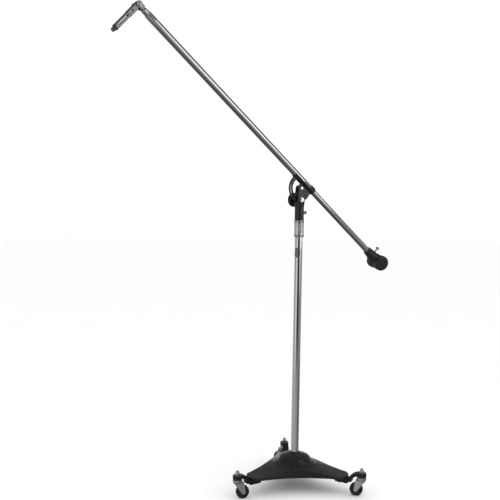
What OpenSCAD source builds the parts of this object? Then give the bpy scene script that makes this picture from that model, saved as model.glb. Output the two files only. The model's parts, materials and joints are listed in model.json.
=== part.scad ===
// Studio boom microphone stand on a three-corner cast base with casters.
// Frame: millimetres, +Z up. The origin is on the floor, under the mast's axis.
// The boom lies in the XZ plane. Its microphone end points to -X and up, its counterweight to +X.

/* [Base] */
// Distance from the mast axis to each caster stem
caster_circle_r = 285; // [280:1:295]
// Height of the underside of the cast plate
plate_bottom_z = 64; // [64:1:66]
// Height of the top of the hub
hub_top_z = 138; // [136:1:146]
// Closest distance from the mast axis to the hollow edge of the plate
plate_waist_r = 114; // [106:1:120]
// Radius of each hollow edge, seen from above
plate_side_r = 480; // [420:5:560]

/* [Casters] */
// Wheel diameter
wheel_d = 52; // [50:1:54]
// Tread width
wheel_w = 22; // [18:1:22]
// Horizontal distance from stem to axle
caster_trail = 21; // [20:1:23]

/* [Mast] */
// Outer diameter of the lower tube (1 1/4 in)
lower_tube_d = 31.8; // [31:0.1:32]
// Outer diameter of the upper tube (1 in)
upper_tube_d = 25.4; // [25:0.1:25.6]
// Wall of every tube
tube_wall = 1.5; // [1:0.1:1.5]
// Height of the lower edge of the grip collar
collar_z = 1019; // [900:1:1100]

/* [Head] */
// Height of the tilt pivot above the lower edge of the grip collar
pivot_rise = 198.5; // [197:0.5:204]
// Radius of the clamp slot about the pivot
slot_r = 47; // [46:0.5:48]
// Diameter of the clamp knob
knob_d = 58; // [50:1:62]

/* [Boom] */
// Angle of the boom above level, as it stands
boom_tilt = 37.4; // [0:0.1:60]
// Distance from the tilt pivot up to the boom's axis
boom_offset = 32; // [32:0.5:34]
// Outer diameter of the front tube (1 1/8 in)
front_tube_d = 28.6; // [28.6:0.1:28.6]
// Outer diameter of the rear tube (1 in), which slides in the front tube
rear_tube_d = 25.4; // [25.4:0.1:25.4]
// Distance from the saddle's centre to the front tube's end
front_reach = 905; // [600:1:1000]
// Distance from the saddle's centre to the counterweight's mouth
weight_reach = 460; // [380:1:520]

/* [Counterweight] */
// Radius of the two lobes
weight_r = 33; // [30:0.5:36]
// Width across the two lobes
weight_w = 84; // [76:1:90]
// How far the weight is turned about the boom
weight_roll = 15; // [0:1:30]

/* [Mini boom] */
// Distance from the knuckle to the collar under the microphone thread
mini_reach = 124; // [110:1:150]
// Lean of the short arm away from square to the boom, in degrees
mini_lean = 5; // [0:1:15]
// Microphone thread diameter (5/8 in)
mic_thread_d = 15.875; // [15.875:0.001:15.875]

/* [Hidden] */
$fn = 96;

// Small measures
eps = 0.02;             // overlap that makes a cut run clean through
fit = 0.05;             // radial clearance of a turning or sliding fit
seat = 0.03;            // radial clearance of a fixed fit

// Corners of the base, each with its stem's heading and its wheel's heading
FRONT = [180, -18];
LEFT  = [300, 125];
RIGHT = [60, 155];
CORNERS = [FRONT, LEFT, RIGHT];

// Bracket and caster heights
block_bottom_z = 47;
neck_bottom_z = 52;
pad_bottom_z = 77;
pad_t = 12;
pad_top_z = pad_bottom_z + pad_t;
strap_w = 27;
rim_t = 2.5;                            // rim of the arch and pad above the nut's face
arch_r = pad_bottom_z - neck_bottom_z; // inside radius of the bracket's arch
arch_x = caster_circle_r - 14;          // distance of the arch's centre from the mast
plate_end_r = 229;
block_start_r = 180;
bolt_rows = [195, 219];
wheel_r = wheel_d / 2;
axle_r = 4;
stem_r = 5.5;
fork_plate_z = 60;
fork_plate_t = 3;
race_z = 70;
ball_r = 3.4;
ball_circle_r = 11.8;

// Mast heights
tube_foot_z = plate_bottom_z + 3;
lower_tube_top = collar_z + 21;
upper_tube_foot = 360;
socket_z = collar_z + 68;
socket_top = socket_z + 70;
upper_tube_top = socket_z + 61;
socket_r = 19;
screw_z = socket_z + 32;

// Head
pivot_z = collar_z + pivot_rise;
clamp_z = pivot_z - slot_r;
plate_half = 5;                         // half thickness of the quadrant
cheek_in = 5.6;
cheek_out = 13;
quadrant_out = slot_r + 7.5;
quadrant_in = slot_r - 7.5;
slot_half_w = 4.2;
slot_end = 66;                          // degrees each way from straight below the boom
sleeve_r = 16.3;
sleeve_front = -58;
sleeve_rear = 44;
spigot_rear = 54;
screw_s = [-44, 28];                    // set screws in the saddle, and the way they point
screw_turn = -130;
front_r = front_tube_d / 2;
rear_r = rear_tube_d / 2;

// Boom tip: the knuckle's distance from the saddle's centre
knuckle_s = -(front_reach + 46);
socket_front_s = -(front_reach + 20);

module at_corner(corner) { rotate([0, 0, corner[0]]) children(); }

// The caster's own frame: +X points from the stem to the axle
module at_caster(corner) {
    at_corner(corner) translate([caster_circle_r, 0, 0])
        rotate([0, 0, corner[1] - corner[0]]) children();
}

// The boom's own frame: origin on the tilt pivot, +X along the boom to the rear, +Z square to it
module at_boom() { translate([0, 0, pivot_z]) rotate([0, boom_tilt, 0]) children(); }

// The boom tube's axis, with +Z along the boom to the rear
module on_boom_axis(s) { at_boom() translate([s, 0, boom_offset]) rotate([0, 90, 0]) children(); }

module at_knuckle() { at_boom() translate([knuckle_s, 0, boom_offset]) children(); }

module at_arm() { at_knuckle() rotate([0, mini_lean, 0]) children(); }

module tube(r, wall, h) {
    difference() {
        cylinder(r = r, h = h);
        translate([0, 0, -eps]) cylinder(r = r - wall, h = h + 2 * eps);
    }
}

module hex_prism(across_flats, h) { cylinder(d = across_flats / cos(30), h = h, $fn = 6); }

// Points of an arc in the plane, from angle a0 to a1 about [cx, cy]
function arc(cx, cy, r, a0, a1, n = 8) =
    [for (i = [0:n]) let (a = a0 + (a1 - a0) * i / n) [cx + r * cos(a), cy + r * sin(a)]];

// ---------- base ----------

dome_r = 66;
dome_z = 113;
ring_1_r = 70;
ring_2_r = 82;
function dome_height(r) = dome_z + (hub_top_z - dome_z) * sqrt(1 - pow(r / dome_r, 2));

// Half outline of the casting's top: hub, dome, two rounded steps and the flared skirt
module roof_outline() {
    polygon(concat(
        [[0, plate_bottom_z], [0, hub_top_z - 3], [20, hub_top_z - 3]],
        [for (r = [22:5.5:62]) [r, dome_height(r) - 3]],
        [[dome_r - 1, dome_z]],
        arc(ring_1_r - 3, 106, 3.5, 80, 0, 5),
        [[ring_1_r + 1, 103]],
        arc(ring_2_r - 3, 97, 3.5, 80, 0, 5),
        [[86, 94], [98, 91.5], [115, 88], [145, 82], [190, 75.5], [252, 71],
         [252, plate_bottom_z]]));
}

// The plate before its top is shaped: three rounded ends joined by hollow, bevelled edges
module plate_block() {
    cap_r = 55;
    cap_x = plate_end_r - cap_r;
    difference() {
        translate([0, 0, plate_bottom_z]) union() {
            linear_extrude(90) polygon([for (a = [0:120:240]) each [
                [cap_x * cos(a + 60) + cap_r * sin(a + 60), cap_x * sin(a + 60) - cap_r * cos(a + 60)],
                [cap_x * cos(a + 60) - cap_r * sin(a + 60), cap_x * sin(a + 60) + cap_r * cos(a + 60)]]]);
            for (c = CORNERS) at_corner(c) translate([cap_x, 0, 0]) cylinder(r = cap_r, h = 90);
        }
        for (c = CORNERS) rotate([0, 0, c[0] + 60]) translate([plate_waist_r + plate_side_r, 0, 0]) {
            cylinder(r = plate_side_r, h = 200, $fn = 360);
            translate([0, 0, plate_bottom_z + 11])
                cylinder(r1 = plate_side_r, r2 = plate_side_r + 24, h = 40, $fn = 360);
        }
    }
}

module base_casting() {
    color("#26272a") difference() {
        union() {
            intersection() {
                plate_block();
                rotate_extrude($fn = 180) roof_outline();
            }
            translate([0, 0, hub_top_z - 12]) cylinder(r = 22, h = 12);
        }
        translate([0, 0, 50]) cylinder(r = lower_tube_d / 2 + seat, h = 120);
        // hollow under the hub, which also takes the mast nut
        translate([0, 0, plate_bottom_z - 1]) cylinder(r = 56, h = 23);
        translate([0, 0, plate_bottom_z + 22 - eps]) cylinder(r1 = 56, r2 = 40, h = 20.3);
        for (c = CORNERS) at_corner(c) for (r = bolt_rows)
            translate([r, 0, plate_bottom_z - 1]) cylinder(r = 4 + seat, h = 8);
    }
}

module mast_nut() {
    nut_h = 14;
    color("silver") translate([0, 0, plate_bottom_z + 42 - nut_h]) difference() {
        hex_prism(46, nut_h);
        translate([0, 0, -1]) cylinder(r = lower_tube_d / 2 + seat, h = nut_h + 2);
    }
}

module bracket_bolts() {
    color("#3a3a3c") for (c = CORNERS) at_corner(c) for (r = bolt_rows) translate([r, 0, 0]) {
        translate([0, 0, block_bottom_z - 5.5]) hex_prism(13, 5.5);
        translate([0, 0, block_bottom_z - eps]) cylinder(r = 4, h = plate_bottom_z + 6 - block_bottom_z);
    }
}

// ---------- caster brackets ----------

// Cast arm: a block bolted under the plate's corner, an arch, and a round pad with a recess for the nut
module caster_bracket() {
    half = strap_w / 2;
    color("#222326") difference() {
        union() {
            translate([block_start_r + 12, -half - 5, block_bottom_z])
                cube([233 - block_start_r - 12, strap_w + 10, plate_bottom_z - block_bottom_z]);
            translate([block_start_r + 12, 0, block_bottom_z])
                cylinder(r = half + 5, h = plate_bottom_z - block_bottom_z);
            translate([232, -half, neck_bottom_z])
                cube([arch_x - arch_r - 232, strap_w, plate_bottom_z - neck_bottom_z]);
            translate([arch_x, half, neck_bottom_z]) rotate([90, 0, 0])
                rotate([0, 0, 90]) rotate_extrude(angle = 90)
                    translate([arch_r, 0]) square([pad_t + rim_t, strap_w]);
            translate([arch_x - eps, -half, pad_bottom_z])
                cube([caster_circle_r - arch_x, strap_w, pad_t + rim_t]);
            translate([caster_circle_r, 0, pad_bottom_z]) cylinder(r = half + 5, h = pad_t + rim_t);
        }
        translate([caster_circle_r, 0, pad_top_z]) cylinder(r = 13.4, h = 20);
        translate([caster_circle_r, 0, 0]) cylinder(r = stem_r + seat, h = 200);
        for (r = bolt_rows) translate([r, 0, 0]) cylinder(r = 4 + seat, h = 100);
        // room for the end of the plate inside the arch's foot
        translate([180, 0, plate_bottom_z]) cylinder(r = plate_end_r - 180 + 1.5, h = 30);
    }
}

module front_bracket() { at_corner(FRONT) caster_bracket(); }
module left_bracket() { at_corner(LEFT) caster_bracket(); }
module right_bracket() { at_corner(RIGHT) caster_bracket(); }

module acorn_nut() {
    color("white") translate([0, 0, pad_top_z]) difference() {
        union() {
            cylinder(r = 11, h = 1.6);
            translate([0, 0, 1.6 - eps]) hex_prism(17, 9);
            translate([0, 0, 10]) cylinder(r = 7.6, h = 3.4);
            translate([0, 0, 13.4]) sphere(r = 7.6);
        }
        translate([0, 0, -1]) cylinder(r = stem_r + seat, h = 12);
        translate([0, 0, -20]) cube([40, 40, 40], center = true);
    }
}

module front_acorn_nut() { at_caster(FRONT) acorn_nut(); }
module left_acorn_nut() { at_caster(LEFT) acorn_nut(); }
module right_acorn_nut() { at_caster(RIGHT) acorn_nut(); }

// Fixed spindle with the upper ball race and the riveted foot that holds the fork on
module caster_stem() {
    color("silver") {
        translate([0, 0, fork_plate_z - 3.5]) cylinder(r = stem_r, h = pad_top_z + 10 - fork_plate_z);
        translate([0, 0, fork_plate_z - 3.5]) cylinder(r = 9.5, h = 3);
        translate([0, 0, race_z]) cylinder(r = 8.5, h = pad_bottom_z - race_z);
        translate([0, 0, race_z]) cylinder(r = 18.5, h = 3);
        translate([0, 0, race_z - 4]) difference() {
            cylinder(r = 18.5, h = 5);
            translate([0, 0, -1]) cylinder(r = 16.9, h = 7);
        }
    }
}

module front_caster_stem() { at_caster(FRONT) caster_stem(); }
module left_caster_stem() { at_caster(LEFT) caster_stem(); }
module right_caster_stem() { at_caster(RIGHT) caster_stem(); }

module swivel_balls() {
    ball_z = (fork_plate_z + fork_plate_t + race_z) / 2;
    color("silver") for (c = CORNERS) at_caster(c) for (i = [0:7])
        rotate([0, 0, i * 45]) translate([ball_circle_r, 0, ball_z]) sphere(r = ball_r, $fn = 32);
}

// ---------- casters ----------

module fork_leg() {
    leg_t = 2.4;
    translate([0, wheel_w / 2 + 1.8 + leg_t, 0]) rotate([90, 0, 0]) linear_extrude(leg_t) {
        polygon([[-14, fork_plate_z], [-14, fork_plate_z + fork_plate_t],
                 [23, fork_plate_z + fork_plate_t], [caster_trail + 8, wheel_r + 1],
                 [caster_trail - 8, wheel_r - 1]]);
        translate([caster_trail, wheel_r]) circle(r = 8.05);
    }
}

module caster_fork() {
    half = wheel_w / 2 + 4.2;
    color("gainsboro") difference() {
        union() {
            translate([0, 0, fork_plate_z]) cylinder(r = 16.5, h = fork_plate_t);
            translate([-14, -half, fork_plate_z]) cube([37, 2 * half, fork_plate_t]);
            fork_leg();
            mirror([0, 1, 0]) fork_leg();
        }
        translate([0, 0, 50]) cylinder(r = stem_r + fit, h = 30);
        translate([caster_trail, 30, wheel_r]) rotate([90, 0, 0]) cylinder(r = axle_r + seat, h = 60);
    }
}

module front_fork() { at_caster(FRONT) caster_fork(); }
module left_fork() { at_caster(LEFT) caster_fork(); }
module right_fork() { at_caster(RIGHT) caster_fork(); }

module caster_axle() {
    half = wheel_w / 2 + 4.2;
    color("silver") translate([caster_trail, 0, wheel_r]) rotate([90, 0, 0]) {
        translate([0, 0, -half - 1]) cylinder(r = axle_r, h = 2 * half + 2);
        for (side = [0, 1]) mirror([0, 0, side])
            translate([0, 0, half]) cylinder(r1 = 6.2, r2 = 4.8, h = 2.4);
    }
}

module front_axle() { at_caster(FRONT) caster_axle(); }
module left_axle() { at_caster(LEFT) caster_axle(); }
module right_axle() { at_caster(RIGHT) caster_axle(); }

module on_axle() { translate([caster_trail, 0, wheel_r]) rotate([90, 0, 0]) children(); }

hub_r = 18;

// Moulded hub: bearing boss, dished web and the rim that carries the tyre
module wheel_hub() {
    half = wheel_w / 2;
    color("#303134") on_axle() rotate_extrude() difference() {
        polygon([[axle_r + fit, -half - 1], [8, -half - 1], [8.5, -half + 3], [14.5, -half + 4],
                 [15, -half + 1], [hub_r, -half + 1], [hub_r, half - 1], [15, half - 1],
                 [14.5, half - 4], [8.5, half - 3], [8, half + 1], [axle_r + fit, half + 1]]);
    }
}

module front_wheel_hub() { at_caster(FRONT) wheel_hub(); }
module left_wheel_hub() { at_caster(LEFT) wheel_hub(); }
module right_wheel_hub() { at_caster(RIGHT) wheel_hub(); }

module tyre() {
    half = wheel_w / 2;
    edge = 5;
    color("#1b1b1d") on_axle() rotate_extrude() polygon(concat(
        [[hub_r + seat, half - 1], [hub_r + seat, -half + 1], [hub_r + 2, -half]],
        arc(wheel_r - edge, -half + edge, edge, -90, 0, 6),
        arc(wheel_r - edge, half - edge, edge, 0, 90, 6),
        [[hub_r + 2, half]]));
}

module front_tyre() { at_caster(FRONT) tyre(); }
module left_tyre() { at_caster(LEFT) tyre(); }
module right_tyre() { at_caster(RIGHT) tyre(); }

// ---------- mast ----------

module lower_tube() {
    color("white") translate([0, 0, tube_foot_z])
        tube(lower_tube_d / 2, tube_wall, lower_tube_top - tube_foot_z);
}

// Thin foil badge with round ends, wrapped on the tube
module tube_badge() {
    badge_w = 24;
    badge_h = 41;
    badge_heading = 211;
    badge_z = collar_z - 63;
    inner = lower_tube_d / 2 + 0.01;
    color("gray") intersection() {
        translate([0, 0, badge_z - badge_h]) tube(inner + 0.4, 0.4, 2 * badge_h);
        rotate([0, 0, badge_heading]) translate([0, 0, badge_z]) rotate([0, 90, 0]) {
            for (side = [-1, 1]) translate([side * (badge_h - badge_w) / 2, 0, 0])
                cylinder(r = badge_w / 2, h = 40);
            translate([-(badge_h - badge_w) / 2, -badge_w / 2, 0])
                cube([badge_h - badge_w, badge_w, 40]);
        }
    }
}

// Threaded ring fixed on the top of the lower tube
module clutch_body() {
    color("silver") difference() {
        translate([0, 0, collar_z + 3]) cylinder(r = 17.8, h = 33);
        translate([0, 0, collar_z]) cylinder(r = lower_tube_d / 2 + seat, h = lower_tube_top - collar_z);
        translate([0, 0, collar_z]) cylinder(r = upper_tube_d / 2 + 0.4, h = 60);
    }
}

// Split nylon ring that the collar squeezes onto the upper tube
module clutch_collet() {
    color("ivory") translate([0, 0, collar_z + 36.3]) difference() {
        union() {
            cylinder(r = 17.2, h = 8);
            translate([0, 0, 8 - eps]) cylinder(r1 = 17.2, r2 = 14.6, h = 18);
        }
        translate([0, 0, -1]) cylinder(r = upper_tube_d / 2 + fit, h = 40);
        for (a = [0, 90]) rotate([0, 0, a]) translate([-30, -0.9, 8]) cube([60, 1.8, 30]);
    }
}

// Chrome grip collar: a rounded ring at each end and a fluted waist
module clutch_collar() {
    height = 67.4;
    flutes = 20;
    color("white") translate([0, 0, collar_z]) difference() {
        rotate_extrude() difference() {
            polygon(concat([[0, 0], [20.3, 0]], arc(19.9, 2, 1.8, -60, 60, 4),
                arc(19.5, 6.5, 2.1, -60, 60, 4), [[20.3, 10], [20, height / 2], [20.3, height - 11]],
                arc(19.5, height - 7, 2.1, -60, 60, 4), arc(19.9, height - 2.2, 1.8, -60, 60, 4),
                [[19.7, height], [0, height]]));
            translate([-1, -1]) square([18.95, 45.5]);
            translate([0, 44.4]) polygon([[-1, 0], [17.9, 0], [15.4, 18.8], [-1, 18.8]]);
            square([upper_tube_d / 2 + 0.4, 100]);
        }
        for (i = [0:flutes - 1]) rotate([0, 0, i * 360 / flutes])
            translate([21.45, 0, 13]) cylinder(r = 1.9, h = height - 27, $fn = 24);
    }
}

module upper_tube() {
    color("white") translate([0, 0, upper_tube_foot])
        tube(upper_tube_d / 2, tube_wall, upper_tube_top - upper_tube_foot);
}

// Nylon guide on the foot of the upper tube: it rides in the lower tube and cushions a drop
module piston_bush() {
    bore_r = lower_tube_d / 2 - tube_wall;
    color("ivory") translate([0, 0, upper_tube_foot]) {
        translate([0, 0, -12]) cylinder(r = bore_r - fit, h = 12 - eps);
        translate([0, 0, -1]) cylinder(r = upper_tube_d / 2 - tube_wall - seat, h = 22);
    }
}

// ---------- head ----------

// Socket for the upper tube with the forked yoke on top
module head_yoke() {
    foot_w = 34;
    fork_floor = pivot_z - quadrant_out - 0.8;
    color("#28292c") difference() {
        union() {
            translate([0, 0, socket_z]) cylinder(r = socket_r, h = fork_floor - socket_z);
            translate([0, 0, socket_z]) cylinder(r = socket_r + 0.9, h = 5);
            translate([0, 0, socket_top - 16]) cylinder(r1 = socket_r, r2 = socket_r + 1.8, h = 12);
            translate([0, 0, socket_top - 4 - eps])
                cylinder(r = socket_r + 1.8, h = fork_floor - socket_top + 4);
            for (side = [0, 1]) mirror([0, side, 0]) translate([0, cheek_out, 0]) rotate([90, 0, 0])
                linear_extrude(cheek_out - cheek_in) {
                    translate([0, pivot_z]) circle(r = 12);
                    polygon([[-foot_w / 2, fork_floor - 10], [foot_w / 2, fork_floor - 10],
                             [foot_w / 2, clamp_z + 4], [12, pivot_z], [-12, pivot_z],
                             [-foot_w / 2, clamp_z + 4]]);
                }
        }
        translate([0, 0, socket_z - 1]) cylinder(r = upper_tube_d / 2 + fit, h = upper_tube_top - socket_z + 3);
        translate([0, 0, screw_z]) rotate([0, 90, 0]) cylinder(r = 3 + fit, h = 40);
        translate([0, 30, pivot_z]) rotate([90, 0, 0]) cylinder(r = 4 + seat, h = 60);
        translate([0, 30, clamp_z]) rotate([90, 0, 0]) cylinder(r = 4 + seat, h = 60);
        // flat seats for the washers and the knob's hub
        for (side = [0, 1]) mirror([0, side, 0]) translate([0, cheek_out, clamp_z])
            rotate([-90, 0, 0]) cylinder(r = 11.2, h = 20);
        // spot face for the screw's boss
        translate([0, 0, screw_z]) rotate([0, 90, 0]) translate([0, 0, socket_r - 0.6]) cylinder(r = 6, h = 20);
    }
}

module pivot_pin() {
    color("silver") translate([0, 0, pivot_z]) rotate([90, 0, 0]) {
        translate([0, 0, -cheek_out - 1.6]) cylinder(r = 4, h = 2 * cheek_out + 3.2);
        for (side = [0, 1]) mirror([0, 0, side])
            translate([0, 0, cheek_out + 0.1]) cylinder(r1 = 7, r2 = 5.5, h = 2.6);
    }
}

clamp_tail_y = 37;

module clamp_bolt() {
    color("white") translate([0, 0, clamp_z]) rotate([90, 0, 0]) {
        translate([0, 0, -clamp_tail_y]) cylinder(r = 4, h = clamp_tail_y + cheek_out + 2);
        translate([0, 0, cheek_out + 1.7]) hex_prism(13, 6);
        translate([0, 0, cheek_out + 7]) cylinder(r1 = 6.4, r2 = 4, h = 1.8);
    }
}

module clamp_washers() {
    color("white") translate([0, 0, clamp_z]) rotate([90, 0, 0]) for (side = [0, 1]) mirror([0, 0, side])
        translate([0, 0, cheek_out + 0.05]) difference() {
            cylinder(r = 9, h = 1.6);
            translate([0, 0, -1]) cylinder(r = 4 + fit, h = 4);
        }
}

knob_y = 27;            // near face of the knob's rim
knob_t = 17;

// Moulded knob, hollow toward the head, with a long hub around a brass bush
module clamp_knob() {
    r = knob_d / 2;
    hub_y = cheek_out + 2;
    color("#1d1e20") translate([0, 0, clamp_z]) rotate([-90, 0, 0]) difference() {
        union() {
            rotate_extrude() polygon(concat(
                [[0, knob_y + 12], [r - 4, knob_y + 12], [r - 4, knob_y], [r - 1, knob_y]],
                arc(r - 2, knob_y + 2, 2, -45, 0, 3), arc(r - 5, knob_y + knob_t - 5, 5, 0, 90, 6),
                [[12, knob_y + knob_t], [10, knob_y + knob_t - 1.5], [0, knob_y + knob_t - 1.5]]));
            translate([0, 0, hub_y]) cylinder(r1 = 10, r2 = 12, h = knob_y + 12.5 - hub_y);
            translate([0, 0, knob_y + 8]) difference() {
                cylinder(r = 20, h = 5);
                translate([0, 0, -1]) cylinder(r = 17.5, h = 7);
            }
        }
        translate([0, 0, hub_y - 1]) cylinder(r = 6.5 + seat, h = knob_y + 10 - hub_y);
        translate([0, 0, hub_y]) cylinder(r = 4 + fit, h = clamp_tail_y + 2 - hub_y);
        for (i = [0:23]) rotate([0, 0, i * 15]) translate([r + 1.2, 0, knob_y + 3]) cylinder(r = 2.2, h = 11, $fn = 24);
    }
}

module knob_insert() {
    hub_y = cheek_out + 2;
    color("goldenrod") translate([0, 0, clamp_z]) rotate([-90, 0, 0]) translate([0, 0, hub_y]) difference() {
        cylinder(r = 6.5, h = knob_y + 8 - hub_y);
        translate([0, 0, -1]) cylinder(r = 4 + fit, h = 60);
    }
}

module thumb_screw(tip_r, head_r, head_d, head_t) {
    translate([0, 0, tip_r]) cylinder(r = 3, h = head_r - tip_r + 1);
    translate([0, 0, head_r]) cylinder(d1 = head_d * 0.62, d2 = head_d, h = head_t * 0.4);
    translate([0, 0, head_r + head_t * 0.4 - eps]) cylinder(d = head_d, h = head_t * 0.35);
    translate([0, 0, head_r + head_t * 0.75 - 2 * eps]) cylinder(d1 = head_d, d2 = head_d * 0.55, h = head_t * 0.25);
}

module head_screw() {
    color("white") translate([0, 0, screw_z]) rotate([0, 90, 0])
        thumb_screw(upper_tube_d / 2 + 0.1, 26, 15, 11);
}

// ---------- boom ----------

// Saddle that holds the boom, with the slotted quadrant below it
module saddle_quadrant() {
    lug_w = 18;
    wide = 2 * plate_half;
    color("#242528") at_boom() difference() {
        union() {
            translate([sleeve_front, 0, boom_offset]) rotate([0, 90, 0])
                cylinder(r = sleeve_r, h = sleeve_rear - sleeve_front);
            translate([sleeve_rear - 7, 0, boom_offset]) rotate([0, 90, 0]) cylinder(r = sleeve_r + 0.5, h = 7);
            translate([sleeve_rear - 1, 0, boom_offset]) rotate([0, 90, 0])
                cylinder(r = 15.3, h = spigot_rear - sleeve_rear + 1);
            translate([0, plate_half, 0]) rotate([90, 0, 0]) difference() {
                cylinder(r = quadrant_out, h = wide);
                translate([0, 0, -1]) cylinder(r = quadrant_in, h = wide + 2);
                translate([-100, boom_offset - 12, -1]) cube([200, 100, wide + 2]);
            }
            translate([0, plate_half, 0]) rotate([90, 0, 0]) cylinder(r = 9.5, h = wide);
            // web that closes the quadrant behind the pivot
            translate([0, plate_half - 1, 0]) rotate([90, 0, 0]) intersection() {
                cylinder(r = quadrant_in + 1, h = wide - 2);
                translate([0, -60, -1]) cube([60, 60 + boom_offset - 12, wide]);
            }
            translate([-lug_w / 2, -plate_half, 0]) cube([lug_w, wide, boom_offset - 12]);
        }
        translate([sleeve_front - 5, 0, boom_offset]) rotate([0, 90, 0])
            cylinder(r = front_r + seat, h = spigot_rear - sleeve_front + 10);
        // the saddle is a trough: the tube lies open on top, up to the ring at its rear
        translate([sleeve_front - 1, -30, boom_offset - 3]) cube([sleeve_rear - 6 - sleeve_front, 60, 40]);
        // room for the lock ring above the quadrant's rear end
        translate([sleeve_rear + 5.2, 0, boom_offset]) rotate([0, 90, 0]) tube(18, 2.73, 20);
        translate([0, 30, 0]) rotate([90, 0, 0]) cylinder(r = 4 + fit, h = 60);
        // clamp slot, curved about the pivot
        translate([0, 30, 0]) rotate([90, 0, 0]) rotate([0, 0, -90 - slot_end])
            rotate_extrude(angle = 2 * slot_end) translate([slot_r - slot_half_w, 0]) square([2 * slot_half_w, 60]);
        for (side = [-1, 1]) rotate([0, -side * slot_end, 0]) translate([0, 30, -slot_r])
            rotate([90, 0, 0]) cylinder(r = slot_half_w, h = 60);
        for (x = screw_s) translate([x, 0, boom_offset]) rotate([screw_turn, 0, 0]) cylinder(r = 3 + seat, h = 30);
    }
}

// Two set screws on the far side of the saddle, tight against the front tube
module saddle_screws() {
    color("#3a3a3c") at_boom() for (x = screw_s) translate([x, 0, boom_offset]) rotate([screw_turn, 0, 0])
        translate([0, 0, front_r + 0.05]) difference() {
            cylinder(r = 3, h = 4);
            translate([0, 0, 1.6]) hex_prism(3, 4);
        }
}

front_tube_rear = 40;

module front_tube() {
    color("white") on_boom_axis(-front_reach) tube(front_r, tube_wall, front_reach + front_tube_rear);
}

// Split nylon ring between the saddle's spigot and the rear tube
module boom_collet() {
    color("ivory") difference() {
        union() {
            on_boom_axis(front_tube_rear + 0.5) cylinder(r = front_r - 0.05, h = spigot_rear - front_tube_rear);
            on_boom_axis(spigot_rear + 0.2) cylinder(r1 = 15.3, r2 = 14, h = 3.2);
        }
        on_boom_axis(0) cylinder(r = rear_r + fit, h = 100);
        at_boom() translate([front_tube_rear - 5, -0.8, boom_offset]) cube([40, 1.6, 30]);
    }
}

// Knurled ring that screws onto the saddle's spigot and grips the rear tube
module boom_lock_ring() {
    ring_start = 49.6;
    ring_end = 62;
    ring_r = 16.7;
    color("#1f2022") difference() {
        union() {
            on_boom_axis(ring_start) cylinder(r1 = 16, r2 = ring_r, h = 2);
            on_boom_axis(ring_start + 2 - eps) cylinder(r = ring_r, h = ring_end - ring_start - 5);
            on_boom_axis(ring_end - 3 - 2 * eps) cylinder(r1 = ring_r, r2 = 14.8, h = 3);
        }
        on_boom_axis(0) cylinder(r = 15.3 + fit, h = spigot_rear + 4.2);
        on_boom_axis(0) cylinder(r = rear_r + 0.3, h = 100);
        for (i = [0:23]) on_boom_axis(ring_start + 2.5) rotate([0, 0, i * 15])
            translate([ring_r + 1, 0, 0]) cylinder(r = 1.5, h = 6.5, $fn = 16);
    }
}

rear_tube_front = -250;
rear_tube_rear = weight_reach + 98;

module rear_tube() {
    color("white") on_boom_axis(rear_tube_front) tube(rear_r, tube_wall, rear_tube_rear - rear_tube_front);
}

module rear_tube_guide() {
    color("ivory") {
        on_boom_axis(rear_tube_front - 8) cylinder(r = front_r - tube_wall - fit, h = 8 - eps);
        on_boom_axis(rear_tube_front - 1) cylinder(r = rear_r - tube_wall - seat, h = 16);
    }
}

module rear_tube_plug() {
    color("#202123") {
        on_boom_axis(rear_tube_rear + eps) cylinder(r = rear_r - 0.3, h = 2.5);
        on_boom_axis(rear_tube_rear - 12) cylinder(r = rear_r - tube_wall - seat, h = 13);
    }
}

// ---------- counterweight ----------

weight_axis_s = weight_reach + 86;
neck_len = 58;
weight_screw_s = weight_reach + 40;

module in_weight(s) { on_boom_axis(s) rotate([0, 0, weight_roll]) children(); }

// Iron casting: a conical neck on the boom and a crosswise drum of two rounded lobes
module counterweight() {
    half = weight_w / 2;
    lip = 10;
    groove_r = weight_r - 5;
    color("#202124") difference() {
        union() {
            in_weight(weight_reach) cylinder(r1 = 15.5, r2 = 17, h = 2.5);
            in_weight(weight_reach + 2.5 - eps) cylinder(r1 = 17, r2 = 25, h = neck_len);
            in_weight(weight_axis_s) rotate([90, 0, 0]) translate([0, 0, -half]) rotate_extrude()
                polygon(concat([[0, 0], [weight_r - lip - 2, 0]],
                    arc(weight_r - lip, lip, lip, -80, 0, 6),
                    arc(weight_r - 8, half - 15, 8, 0, 60, 4),
                    [[groove_r, half - 4], [groove_r, half + 4]],
                    arc(weight_r - 8, half + 15, 8, -60, 0, 4),
                    arc(weight_r - lip, 2 * half - lip, lip, 0, 80, 6),
                    [[weight_r - lip - 2, 2 * half], [0, 2 * half]]));
        }
        in_weight(weight_reach - 5) cylinder(r = rear_r + fit, h = 200);
        in_weight(weight_screw_s) rotate([0, -90, 0]) cylinder(r = 3 + fit, h = 60);
    }
}

module counterweight_screw() {
    color("white") in_weight(weight_screw_s) rotate([0, -90, 0])
        thumb_screw(rear_r + 0.1, 36, 17, 10);
}

// ---------- boom tip and mini boom ----------

cheek_gap = 8.7;
cheek_face = 12.7;
arm_half = 8.4;
arm_w = 24;
spindle_r = 6;

// Chrome ferrule in the front tube's end
module tip_socket() {
    color("white") difference() {
        union() {
            on_boom_axis(socket_front_s) cylinder(r1 = 10.9, r2 = 11.8, h = 1.5);
            on_boom_axis(socket_front_s + 1.5 - eps) cylinder(r = 11.8, h = 18);
            on_boom_axis(-front_reach - 1.5) cylinder(r = front_r - tube_wall - seat, h = 26.5);
        }
        on_boom_axis(socket_front_s - 1) cylinder(r = spindle_r + fit, h = 38);
    }
}

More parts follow.
